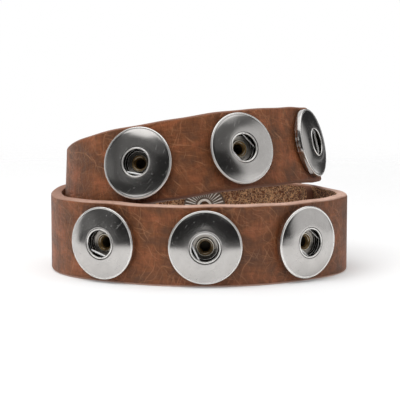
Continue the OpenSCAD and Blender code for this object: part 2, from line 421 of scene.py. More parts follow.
@dataclass(frozen=True)
class PlatedMetal:
    """A plated or bare metal finish with fine wear.

    The eye gets a reflection that is broken a little by haze and hair-thin scratches.
    """

    name: str
    colour: str
    shade: str
    roughness: float
    haze: float = 0.06
    metallic: float = 1.0
    scuffs: float = 0.0
    lip_wear: float = 0.4
    cloud_mm: float = 4.545455
    scratch_mm: tuple[float, float, float] = (0.25, 10.0, 3.0)
    scratch_depth_mm: float = 0.004
    speck_mm: tuple[float, float, float] = (0.4, 0.4, 0.4)
    speck_rise: tuple[float, float] = (0.765, 0.825)
    hairline_mm: tuple[float, float, float] = (0.14, 2.4, 2.4)
    hairline_rise: tuple[float, float] = (0.775, 0.835)

    def worn(self, tree: NodeTree, place: NodeSocket) -> NodeSocket:
        """Scatters dull specks and hairlines, 0.2 mm wide so that they show in the render.

        Args:
            tree: The material's nodes.
            place: Object coordinates in metres.

        Returns:
            The metallic share, lowered by the marks and by the piece's own wear attribute.
        """
        layers = []
        for sizes, rise in (
            (self.speck_mm, self.speck_rise), (self.hairline_mm, self.hairline_rise),
        ):
            mapping = {"Rotation": (0.3, 0.5, 0.6), "Scale": tuple(size * MM for size in sizes)}
            layers.append((mapping, 0.0, *rise))
        marks = islands(tree, place, layers)
        wear = add_node(tree, "Attribute", {"attribute_name": "wear"}, "Fac")
        step = {"operation": "MULTIPLY_ADD", 0: wear, 1: self.lip_wear, 2: marks}
        marks = add_node(tree, "Math", {**step, "use_clamp": True})
        least = self.metallic - self.scuffs
        return add_node(tree, "MapRange", {"Value": marks, "To Min": self.metallic, "To Max": least})

    def build(self) -> Material:
        """Builds the material.

        Returns:
            The material, which reads Object coordinates in metres.
        """
        material, tree, shader = new_material(self.name)
        place = add_node(tree, "TexCoord", output="Object")
        look = {"Scale": 1 / (self.cloud_mm * MM), "Detail": 4.0, "Roughness": 0.6}
        cloud = add_node(tree, "TexNoise", {"Vector": place, **look})
        mapping = {"Rotation": (0.4, 0.9, 0.3), "Scale": tuple(size * MM for size in self.scratch_mm)}
        drawn = add_node(tree, "Mapping", {**STRETCH, "Vector": place, **mapping})
        scratch = add_node(tree, "TexNoise", {"Vector": drawn, "Scale": 1.0, "Detail": 2.0})
        stops = ((0.35, self.shade), (0.65, self.colour))
        tone = add_node(tree, "ValToRGB", {"Fac": cloud, "stops": stops})
        span = {**NOISE_SPAN, "To Min": self.roughness, "To Max": self.roughness + self.haze}
        rough = add_node(tree, "MapRange", {"Value": cloud, **span})
        relief = {"Strength": 0.4, "Distance": self.scratch_depth_mm * MM}
        bump = add_node(tree, "Bump", {**relief, "Height": scratch})
        metallic = self.worn(tree, place) if self.scuffs else self.metallic
        fill(shader, {"Base Color": tone, "Metallic": metallic, "Roughness": rough, "Normal": bump})
        return material


# a near mirror, warm grey, with specks and hairlines
POLISHED_NICKEL = PlatedMetal("polished_nickel_plate", "#C9C6C3", "#BCB9B6", 0.13, scuffs=0.3)
# partly rubbed wear and partly a painted highlight: a whitish, half-matt finish on each edge stands in
# for its line of light
RUBBED_NICKEL_PAINTED_HIGHLIGHT = PlatedMetal("rubbed_nickel_edge", "#F6F4F1", "#EAE7E3", 0.2, metallic=0.7)
# a soft grey sheen on the well's dished floor
DISHED_NICKEL = PlatedMetal("dished_nickel_floor", "#A39E97", "#87827B", 0.24)
# partly dull steel and partly painted shade: almost black, blurred, in the well's groove and steps
SOCKET_WELL_PAINTED_SHADE = PlatedMetal("dull_steel_well_painted_shade", "#38332C", "#1F1C18", 0.42)
# painted highlight: a white, almost matt finish gives bright white lines on the two wires, which are
# too thin to show a reflection
SPRING_WIRE_PAINTED_HIGHLIGHT = PlatedMetal("spring_steel_painted_highlight", "#FFFFFF", "#FAF9F7", 0.35, metallic=0.1)
# a grey ring with one highlight on the tube's rolled end
ROLLED_TUBE = PlatedMetal("rolled_nickelled_tube", "#C9C3B8", "#A59E90", 0.22)
# brown gold where the plating is gone
TURNED_BRASS = PlatedMetal("tarnished_brass_tube", "#AD8C58", "#6E552E", 0.34, 0.12, 0.6)
# painted shade: a brown dark down the tube, darker than its brass
TUBE_BORE_PAINTED_SHADE = PlatedMetal("brass_bore_painted_shade", "#463C2A", "#332B1D", 0.6, metallic=0.3)
# a matt warm grey between the rays
STAMPED_NICKEL = PlatedMetal("stamped_matt_nickel", "#94877B", "#70645A", 0.42, 0.10, 0.8)
# partly rubbed wear and partly a painted highlight: pale, half-matt rays and ring
RAISED_NICKEL_PAINTED_HIGHLIGHT = PlatedMetal("rubbed_raised_nickel", "#FAF5EE", "#E6DFD5", 0.28, metallic=0.4)


def deselect() -> None:
    """Deselects every object."""
    bpy.ops.object.select_all(action="DESELECT")


def activate(piece: Object) -> None:
    """Makes one object the only selected and active one.

    Args:
        piece: The object.
    """
    deselect()
    piece.select_set(True)
    bpy.context.view_layer.objects.active = piece


def edit_all() -> None:
    """Goes into edit mode with the whole mesh selected."""
    bpy.ops.object.mode_set(mode="EDIT")
    bpy.ops.mesh.select_all(action="SELECT")


def just_added(name: str) -> Object:
    """Names the object that an operator has just added, and its mesh.

    Args:
        name: The name.

    Returns:
        The object.
    """
    piece = bpy.context.object
    piece.name = piece.data.name = name
    return piece


def spots_of(piece: Object) -> np.ndarray:
    """Reads where a mesh's vertices are.

    Args:
        piece: The object, in object mode.

    Returns:
        A row of x, y and z in millimetres for each vertex.
    """
    spots = np.empty(len(piece.data.vertices) * 3, np.float32)
    piece.data.vertices.foreach_get("co", spots)
    return spots.reshape(-1, 3).astype(float) / MM


def put_spots(piece: Object, spots: np.ndarray) -> None:
    """Puts a mesh's vertices at rows of x, y and z in millimetres."""
    piece.data.vertices.foreach_set("co", (spots * MM).astype(np.float32).ravel())
    piece.data.update()


def select_in_mesh(piece: Object, domain: str, test: Callable[[Any], bool]) -> None:
    """Selects the vertices or edges of a mesh that pass a test.

    Args:
        piece: The object, in edit mode.
        domain: "VERT" or "EDGE".
        test: Says of one element whether it is selected.
    """
    bpy.ops.mesh.select_mode(type=domain)
    bpy.ops.mesh.select_all(action="DESELECT")
    mesh = bmesh.from_edit_mesh(piece.data)
    for element in mesh.verts if domain == "VERT" else mesh.edges:
        if test(element):
            element.select_set(True)
    bmesh.update_edit_mesh(piece.data)


def close_and_smooth(angle: float) -> None:
    """Merges a spun mesh's doubles, turns its faces outwards and smooths it in object mode.

    Args:
        angle: Edges sharper than this stay sharp, in degrees.
    """
    bpy.ops.mesh.select_all(action="SELECT")
    bpy.ops.mesh.remove_doubles(threshold=MERGED)
    bpy.ops.mesh.normals_make_consistent(inside=False)
    bpy.ops.object.mode_set(mode="OBJECT")
    bpy.ops.object.shade_smooth_by_angle(angle=math.radians(angle))


def turned(name: str, profile: Profile, steps: int, angle: float = 35.0) -> Object:
    """Turns an outline round the Z axis, as on a lathe; one that ends on the axis stays open there.

    Args:
        name: The new object's name.
        profile: Radius and height of each corner in millimetres, once round the outline.
        steps: Number of steps round.
        angle: Edges sharper than this stay sharp, in degrees.

    Returns:
        The object, at the origin.
    """
    deselect()
    bpy.ops.mesh.primitive_plane_add(size=MM)
    piece = just_added(name)
    edit_all()
    bpy.ops.mesh.select_mode(type="VERT")
    bpy.ops.mesh.merge(type="CENTER")
    bpy.ops.transform.translate(value=(profile[0][0] * MM, 0.0, profile[0][1] * MM))
    on_axis = profile[0][0] == 0 and profile[-1][0] == 0
    for here, there in zip(profile, profile[1:] if on_axis else profile[1:] + profile[:1]):
        step = ((there[0] - here[0]) * MM, 0.0, (there[1] - here[1]) * MM)
        bpy.ops.mesh.extrude_vertices_move(TRANSFORM_OT_translate={"value": step})
    bpy.ops.mesh.select_all(action="SELECT")
    bpy.ops.mesh.remove_doubles(threshold=MERGED)
    bpy.ops.mesh.select_all(action="SELECT")
    bpy.ops.mesh.spin(steps=steps, angle=2 * math.pi, center=(0, 0, 0), axis=(0, 0, 1))
    close_and_smooth(angle)
    return piece


def joined(pieces: list[Object]) -> Object:
    """Joins objects into the first of them.

    Args:
        pieces: The objects, in object mode.

    Returns:
        The first object, with all their meshes.
    """
    activate(pieces[0])
    for piece in pieces[1:]:
        piece.select_set(True)
    bpy.ops.object.join()
    return pieces[0]


def arc(centre: tuple[float, float], radius: float, start: float, end: float, steps: int) -> Profile:
    """Gives the corners on an arc of an outline.

    Args:
        centre: Radius and height of the arc's centre.
        radius: The arc's own radius.
        start: Angle of the first corner in degrees, from outwards towards up.
        end: Angle of the last corner.
        steps: Number of steps between them.

    Returns:
        The corners, both ends among them.
    """
    turns = [math.radians(start + (end - start) * k / steps) for k in range(steps + 1)]
    return [(centre[0] + radius * math.cos(t), centre[1] + radius * math.sin(t)) for t in turns]


def finish_where(
    piece: Object, finishes: list[PlatedMetal], choose: Callable[[float, float], int]
) -> None:
    """Gives a turned part its finishes, face by face.

    Args:
        piece: The part, still round the Z axis.
        finishes: The finishes, in the order of the part's material slots.
        choose: Gives the finish's number from a face's radius and height in millimetres.
    """
    for finish in finishes:
        piece.data.materials.append(finish.build())
    for face in piece.data.polygons:
        x, y, z = face.center / MM
        face.material_index = choose(math.hypot(x, y), z)


def wear_in(piece: Object, near: float, far: float) -> None:
    """Writes how far a face is worn: one inside a radius, zero outside another.

    Args:
        piece: A turned piece at the origin.
        near: Radius of full wear, in millimetres.
        far: Radius where the wear ends, in millimetres.
    """
    spots = spots_of(piece)
    share = np.clip((far - np.hypot(spots[:, 0], spots[:, 1])) / (far - near), 0.0, 1.0)
    kept = piece.data.attributes.new("wear", "FLOAT", "POINT")
    kept.data.foreach_set("value", (share * share).astype(np.float32))


def hand_over(piece: Object, slot: Slot, *nodes: str) -> None:
    """Lets a finished piece ride on the frame in place of its CAD nodes.

    Args:
        piece: The finished object.
        slot: The record's material slot of the piece; not used.
        nodes: The CAD nodes that it stands for.
    """
    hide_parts(*nodes)
    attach(piece, "root")
    log.info("%s: %d faces, replaces %s", piece.name, len(piece.data.polygons), ", ".join(nodes))


@dataclass(frozen=True)
class Station:
    """A rigid piece's place on the strap: its name, its travel and its spring's turn in degrees."""

    name: str
    travel: float
    turn: float


@dataclass(frozen=True)
class Route:
    """Middle line of the strap, laid flat under each rigid piece, and the frame that runs on it."""

    sockets: tuple[Station, ...] = (
        Station("up_left", 7.26, 71),
        Station("up_mid", 8.78, 37),
        Station("up_right", 10.66, 5),
        Station("low_left", 18.87, 73),
        Station("low_mid", 20.15, 25),
        Station("low_right", 21.56, 51),
    )
    close_in: float = 1.91
    close_out: float = 25.68
    end: float = 26.2
    centre: tuple[float, float] = (0.15, -0.53)
    flat_half: float = 4.5
    flat_reach: float = 13.0
    flat_travel: float = 1.5
    samples: int = 5200
    nudge: float = 0.02

    def spline(self, travel: np.ndarray, order: int = 0) -> np.ndarray:
        """Gives points of the plain spline, or one of its derivatives.

        Args:
            travel: Places along the strap, one unit for each guide row.
            order: 0 for the point, 1 or 2 for the derivative.

        Returns:
            One row of x, y, z and lean for each place.
        """
        rows = np.array(GUIDE_ROWS, float)
        first = np.clip(np.floor(travel).astype(int), 0, len(rows) - 4)
        t = (travel - first)[:, None]
        pulls = (
            ((1 - t) ** 3, 3 * t**3 - 6 * t**2 + 4, -3 * t**3 + 3 * t**2 + 3 * t + 1, t**3),
            (-3 * (1 - t) ** 2, 9 * t**2 - 12 * t, -9 * t**2 + 6 * t + 3, 3 * t**2),
            (6 * (1 - t), 18 * t - 12, 6 - 18 * t, 6 * t),
        )[order]
        return sum(pull * rows[first + k] for k, pull in enumerate(pulls)) / 6

    def middle(self, travel: np.ndarray) -> np.ndarray:
        """Gives points of the middle line with its flat stretches.

        Args:
            travel: Places along the strap.

        Returns:
            One row of x, y and z in millimetres for each place.
        """
        plain = self.spline(travel)
        point = plain[:, :3].copy()
        point[:, :2] += self.centre
        bent_part = self.flat_reach - self.flat_half
        for at in [s.travel for s in self.sockets] + [self.close_in, self.close_out]:
            spot, a, b = (self.spline(np.array([at]), order)[0] for order in range(3))
            speed = math.hypot(a[0], a[1])
            ahead = a[:2] / speed
            outward = np.array([a[1], -a[0]]) / speed
            bend = (a[0] * b[1] - a[1] * b[0]) / speed**3
            along = (plain[:, :2] - spot[:2]) @ ahead
            hard = bend * self.flat_reach / bent_part
            level = (bend * self.flat_reach**2 - hard * bent_part**2) / 2
            beyond = np.maximum(0, np.abs(along) - self.flat_half)
            shift = (bend * along**2 - hard * beyond**2) / 2 - level
            near = (np.abs(travel - at) <= self.flat_travel) & (np.abs(along) <= self.flat_reach)
            point[:, :2] += np.where(near, shift, 0.0)[:, None] * outward
        return point

    def frame(self, travel: np.ndarray) -> tuple[np.ndarray, np.ndarray, np.ndarray, np.ndarray]:
        """Gives the frame of the strap.

        Args:
            travel: Places along the strap.

        Returns:
            Middle points in millimetres, and unit vectors along, out and across.
        """
        along = self.middle(travel + self.nudge) - self.middle(travel - self.nudge)
        along /= np.linalg.norm(along, axis=1)[:, None]
        level = np.stack([along[:, 1], -along[:, 0], 0 * along[:, 0]], -1)
        level /= np.linalg.norm(level, axis=1)[:, None]
        up = np.cross(level, along)
        lean = np.radians(self.spline(travel)[:, 3])[:, None]
        out = level * np.cos(lean) + up * np.sin(lean)
        across = up * np.cos(lean) - level * np.sin(lean)
        return self.middle(travel), along, out, across

    def lengths(self) -> tuple[np.ndarray, np.ndarray]:
        """Measures the middle line.

        Returns:
            The travel of many places, and the length to each of them in millimetres.
        """
        travel = np.linspace(0.0, self.end, self.samples)
        steps = np.linalg.norm(np.diff(self.middle(travel), axis=0), axis=1)
        return travel, np.concatenate([[0.0], np.cumsum(steps)])

    def standing_on(self, travel: float, shift: float) -> Matrix:
        """Gives the matrix that stands a part on the strap, its +Z outwards and its +X down.

        Args:
            travel: The part's place along the strap.
            shift: Height of the part's zero above the middle line, in millimetres.

        Returns:
            The matrix, in metres.
        """
        point, _, out, across = (v[0] for v in self.frame(np.array([travel])))
        turn = Matrix((-across, -np.cross(out, across), out)).transposed().to_4x4()
        return Matrix.Translation(Vector((point + out * shift) * MM)) @ turn


@dataclass
class Strap:
    """The leather band: modelled flat, rounded, pierced and then laid along its route."""

    route: Route
    width: float = 20.0
    thickness: float = 2.8
    grain_round: float = 0.7
    grain_steps: int = 5
    flesh_bevel: float = 0.3
    flesh_steps: int = 2
    rim_within: float = 0.01
    wall_tilt: float = 0.1
    side_tilt: float = 0.9
    end_round: float = 1.8
    cell: float = 0.8
    cells_across: int = 22
    rivet_hole: float = 2.15
    snap_hole: float = 1.75
    hole_steps: int = 48
    grain_tilt: float = 0.96
    flesh_tilt: float = -0.85
    smooth_below: float = 40.0
    edge_wander: float = 0.10
    wander_mm: tuple[float, float] = (5.3, 2.1)
    foot_high: float = 10.3

    def blank(self) -> Object:
        """Cuts the flat band with round corners.

        Returns:
            A grid of the band's length and width on its grain side.
        """
        length = self.route.lengths()[1][-1]
        deselect()
        bpy.ops.mesh.primitive_grid_add(
            x_subdivisions=round(length / self.cell), y_subdivisions=self.cells_across, size=1.0
        )
        band = just_added("strap_leather")
        edit_all()
        bpy.ops.transform.resize(value=(length * MM, self.width * MM, 1.0))
        bpy.ops.transform.translate(value=(length * MM / 2, 0.0, self.thickness * MM / 2))
        bpy.ops.object.mode_set(mode="OBJECT")
        spots = spots_of(band)
        x, y, _ = spots.T
        r = self.end_round
        straight = self.width / 2 - r
        reach = np.maximum(r - x, x - (length - r))
        rise = np.abs(y) - straight
        pull = np.maximum(reach, rise) / np.maximum(np.hypot(reach, rise), 1e-9)
        ends = np.where(x < length / 2, r - reach * pull, length - r + reach * pull)
        corner = (reach > 0) & (rise > 0)
        round_corner = np.stack([ends, np.sign(y) * (straight + rise * pull)], -1)
        spots[:, :2] = np.where(corner[:, None], round_corner, spots[:, :2])
        put_spots(band, spots)
        return band

    def on_rim(self, edge: bmesh.types.BMEdge, level: float) -> bool:
        """Says whether an edge of the thick band runs between its wall and a flat side.

        Args:
            edge: The edge.
            level: Height of the flat side in metres.

        Returns:
            Whether it does.
        """
        wall, side = sorted(abs(face.normal.z) for face in edge.link_faces)
        at_level = all(abs(v.co.z - level) <= self.rim_within * MM for v in edge.verts)
        return at_level and wall < self.wall_tilt and side > self.side_tilt

    def thicken(self, band: Object) -> None:
        """Gives the blank its thickness, its round grain edges and its bevelled flesh edges.

        Args:
            band: The blank, in object mode.
        """
        top = self.thickness * MM / 2
        activate(band)
        edit_all()
        bpy.ops.mesh.extrude_region_move(TRANSFORM_OT_translate={"value": (0, 0, -2 * top)})
        bpy.ops.mesh.select_all(action="SELECT")
        bpy.ops.mesh.normals_make_consistent(inside=False)
        for level, size, steps in (
            (top, self.grain_round, self.grain_steps), (-top, self.flesh_bevel, self.flesh_steps),
        ):
            select_in_mesh(band, "EDGE", lambda edge: self.on_rim(edge, level))
            bpy.ops.mesh.bevel(
                offset=size * MM, offset_type="OFFSET", segments=steps, profile=0.5,
                affect="EDGES", clamp_overlap=False,
            )
        bpy.ops.object.mode_set(mode="OBJECT")

    def pierce(self, band: Object) -> None:
        """Punches the holes for the rivets and the closing snap.

        Args:
            band: The thick band, still flat.
        """
        places = [(station.travel, self.rivet_hole) for station in self.route.sockets]
        places += [(self.route.close_in, self.rivet_hole), (self.route.close_out, self.snap_hole)]
        travels, lengths = self.route.lengths()
        punches = []
        for travel, radius in places:
            deselect()
            bpy.ops.mesh.primitive_cylinder_add(
                vertices=self.hole_steps, radius=radius * MM, depth=3 * self.thickness * MM,
                location=(float(np.interp(travel, travels, lengths)) * MM, 0, 0),
            )
            punches.append(bpy.context.object)
        tool = joined(punches)
        activate(band)
        cut = band.modifiers.new("punch", "BOOLEAN")
        cut.operation = "DIFFERENCE"
        cut.solver = "EXACT"
        cut.object = tool
        bpy.ops.object.modifier_apply(modifier=cut.name)
        bpy.data.objects.remove(tool)

    def lay(self, band: Object) -> None:
        """Marks each face as grain, cut edge or flesh, and lays the band along its route.

        Args:
            band: The pierced band, still flat; its flat place is kept as an attribute in millimetres.
        """
        mesh = band.data
        normals = np.empty(len(mesh.polygons) * 3, np.float32)
        mesh.polygons.foreach_get("normal", normals)
        tilt = normals[2::3]
        kinds = np.full(len(tilt), StrapFace.CUT.value, np.int32)
        kinds[tilt > self.grain_tilt] = StrapFace.GRAIN.value
        kinds[tilt < self.flesh_tilt] = StrapFace.FLESH.value
        mesh.polygons.foreach_set("material_index", kinds)

        flat = spots_of(band)
        kept = mesh.attributes.new("flat", "FLOAT_VECTOR", "POINT")
        kept.data.foreach_set("vector", flat.astype(np.float32).ravel())
        travel, length = self.route.lengths()
        x, y, _ = flat.T
        middle, _, out, across = self.route.frame(np.interp(x, length, travel))
        side = y / (self.width / 2)
        long, short = self.wander_mm
        waves = np.sin(x / long + 1.1 * np.sign(side)) + 0.6 * np.sin(x / short + side)
        on_foot = (side < 0) & (middle[:, 2] < self.foot_high)
        wander = np.where(on_foot, 0.0, self.edge_wander * side**3 * waves)
        put_spots(band, middle + out * flat[:, 2:] + across * (y + wander)[:, None])

    def build(self) -> Object:
        """Models and dresses the band.

        Returns:
            The strap, in place of its CAD node.
        """
        band = self.blank()
        self.thicken(band)
        self.pierce(band)
        for finish in (WaxedGrain(), CutEdge(), SplitSuede()):
            band.data.materials.append(finish.build())
        self.lay(band)
        activate(band)
        bpy.ops.object.shade_smooth_by_angle(angle=math.radians(self.smooth_below))
        hand_over(band, Slot.LEATHER, "strap")
        return band


@dataclass
class SnapSocket:
    """One snap station: the socket with its domed face, its spring and the rivet that holds it."""

    route: Route
    steps: int = 96
    rim_r: float = 9.05
    step_r: float = 8.4
    hole_r: float = 3.5
    bead_r: float = 0.3
    face_low: float = 2.08
    face_high: float = 3.02
    face_slopes: tuple[tuple[float, float], ...] = (
        (4.0, 0.03), (5.0, 0.13), (6.0, 0.21), (7.0, 0.26), (8.0, 0.3), (8.4, 0.41), (8.55, 0.54),
    )
    face_corners: int = 23
    worn: tuple[float, float] = (4.0, 6.9)
    groove_r: float = 4.42
    groove: tuple[float, float] = (1.4, 2.35)
    wire_r: float = 0.25
    wire_off: float = 2.75
    wire_bend: float = 3.85
    wire_z: float = 1.92
    wire_steps: int = 14
    bend_steps: int = 16
    rivet_steps: int = 64
    flange_r: float = 5.8
    tube_r: float = 2.0
    bore_r: float = 1.25
    cup_r: float = 1.8
    leather: float = 2.8
    gap: float = 0.2

    def face(self) -> Profile:
        """Draws the domed face from the rim in to the lip, by its slope at some radii.

        Returns:
            The outline's corners.
        """
        known, slopes = zip(*self.face_slopes)
        radii = np.linspace(known[-1], known[0], self.face_corners)
        steep = np.interp(radii, known, slopes)
        climb = np.concatenate([[0.0], np.cumsum(-np.diff(radii) * (steep[1:] + steep[:-1]) / 2)])
        heights = self.face_low + climb * (self.face_high - self.face_low) / climb[-1]
        return list(zip(radii.tolist(), heights.tolist()))

    def socket_outline(self) -> Profile:
        """Draws the socket's wall, once round; the well's floor is dished in two steps.

        Returns:
            The outline's corners.
        """
        low, high = self.groove
        r = self.hole_r
        return (
            [(2.15, self.gap), (self.step_r, self.gap), (self.step_r, 0.52), (8.75, 0.6)]
            + arc((self.rim_r - 0.2, 0.82), 0.2, -70, 0, 3)
            + arc((self.rim_r - self.bead_r, 1.8), self.bead_r, 0, 115, 8)
            + self.face()
            + [(r + 0.43, 3.0), (r + 0.35, 2.89)]
            + arc((r + 0.1, 2.9), 0.22, 10, 180, 10)
            + [(r - 0.12, high), (self.groove_r, high), (self.groove_r, low), (r, low)]
            + arc((r - 0.1, low - 0.1), 0.1, 80, 0, 3)
            + [(r, low - 0.22), (r - 0.42, 1.06)]
            + arc((r - 0.5, 0.98), 0.08, 90, 0, 3)
            + [(r - 0.44, 0.62), (r - 1.0, 0.45), (2.15, 0.38)]
        )

    def socket_finish(self, r: float, z: float) -> int:
        """Chooses the finish at a spot of the socket.

        Args:
            r: The spot's radius.
            z: Its height.

        Returns:
            0 polished, 1 rubbed edges with a painted highlight, 2 dull well darkened as painted shade,
            3 dished floor.
        """
        low, high = self.groove
        # painted shadow: a thin dark line round the lip's foot, in the well's dark finish
        if self.hole_r + 0.325 < r < self.hole_r + 0.41 and z > 2.8:
            return 2
        # the rim's bead and the lip take the whitish edge finish: rubbed wear and a painted highlight
        if (r > self.rim_r - 0.5 and z > 1.87) or (r < self.hole_r + 0.37 and z > 2.87):
            return 1
        # painted highlight: the edges of the well's steps take the whitish edge finish too
        if r < self.hole_r + 0.01 and (abs(z - low + 0.06) < 0.07 or abs(z - 1.01) < 0.06):
            return 1
        if r > self.groove_r + 0.1 or not 0.3 < z < high + 0.3:
            return 0
        # inside the well: a grey dished floor, and elsewhere the dark finish that is partly painted
        # shade
        return 3 if r < self.hole_r - 0.4 and z < 0.6 else 2

    def rivet_outline(self) -> Profile:
        """Draws the rivet's wall, from the middle of its blind flange up into its bore.

        Returns:
            The outline's corners.
        """
        under = -self.leather - self.gap
        bottom = under - 0.5
        cup = self.cup_r
        return (
            [(0, bottom + 0.12), (0.6, bottom + 0.12), (0.8, bottom + 0.02), (1.0, bottom)]
            + [(4.3, bottom), (4.42, bottom + 0.06), (4.58, bottom + 0.06), (4.7, bottom)]
            + arc((self.flange_r - 0.25, bottom + 0.25), 0.25, -90, 90, 6)
            + [(self.tube_r, under), (self.tube_r, 0.45), (2.28, 0.45)]
            + arc((2.17, 0.55), 0.15, -45, 100, 6)
            + [(cup + 0.15, 0.66), (cup + 0.05, 0.52), (cup - 0.12, 0.3), (cup - 0.2, 0.27)]
            + [(cup - 0.26, 0.18), (self.bore_r + 0.04, -0.3), (self.bore_r, -0.4)]
            + [(self.bore_r, under), (0, under)]
        )

    def rivet_finish(self, r: float, z: float) -> int:
        """Chooses the finish at a spot of the rivet.

        Args:
            r: The spot's radius.
            z: Its height.

        Returns:
            0 the roll and the cup's rubbed step, 1 cup and flange, 2 bore in painted shade.
        """
        if (r > self.cup_r + 0.1 and z > 0.44) or (abs(self.cup_r - 0.16 - r) < 0.05 and z > 0.25):
            return 0
        return 2 if r < self.bore_r + 0.05 and -3.05 < z < -0.2 else 1

    def spring(self) -> Object:
        """Bends one wire loop: two straight wires that grip a stud, joined by two round ends.

        Returns:
            The loop at the origin, its straight wires along X.
        """
        reach = math.sqrt(self.wire_bend**2 - self.wire_off**2)
        bend = 2 * math.atan2(self.wire_off, reach)
        deselect()
        bpy.ops.mesh.primitive_circle_add(
            vertices=self.wire_steps, radius=self.wire_r * MM, rotation=(0, math.pi / 2, 0)
        )
        loop = just_added("spring")
        bpy.ops.object.transform_apply(location=True, rotation=True, scale=True)
        edit_all()
        bpy.ops.transform.translate(value=(-reach * MM, -self.wire_off * MM, 0))
        for way in (2 * reach * MM, -2 * reach * MM):
            bpy.ops.mesh.extrude_region_move(TRANSFORM_OT_translate={"value": (way, 0, 0)})
            bpy.ops.mesh.spin(
                steps=self.bend_steps, angle=-bend, center=(0, 0, 0), axis=(0, 0, 1)
            )
        close_and_smooth(60)
        return loop

    def build(self) -> list[Object]:
        """Models one of each part and puts a copy with its own mesh at each station.

        Returns:
            The sockets, springs and rivets, in place of their CAD nodes.
        """
        socket = turned("socket", self.socket_outline(), self.steps)
        spring = self.spring()
        rivet = turned("rivet", self.rivet_outline(), self.rivet_steps)
        wear_in(socket, *self.worn)
        nickel = [POLISHED_NICKEL, RUBBED_NICKEL_PAINTED_HIGHLIGHT, SOCKET_WELL_PAINTED_SHADE, DISHED_NICKEL]
        brass = [ROLLED_TUBE, TURNED_BRASS, TUBE_BORE_PAINTED_SHADE]
        pieces = []
        for part, master, slot, finishes, choose in (
            ("socket", socket, Slot.SOCKET, nickel, self.socket_finish),
            ("spring", spring, Slot.SPRING, [SPRING_WIRE_PAINTED_HIGHLIGHT], lambda r, z: 0),
            ("rivet", rivet, Slot.RIVET, brass, self.rivet_finish),
        ):
            finish_where(master, finishes, choose)
            for station in self.route.sockets:
                piece = master.copy()
                piece.data = master.data.copy()
                piece.name = piece.data.name = f"{part}_{station.name}_metal"
                bpy.context.scene.collection.objects.link(piece)
                if part == "spring":
                    turn = Matrix.Rotation(math.radians(station.turn), 4, "Z")
                    piece.data.transform(turn @ Matrix.Translation((0, 0, self.wire_z * MM)))
                piece.data.transform(self.route.standing_on(station.travel, self.leather / 2))
                hand_over(piece, slot, f"{part}_{station.name}")
                pieces.append(piece)
            bpy.data.objects.remove(master)
        return pieces


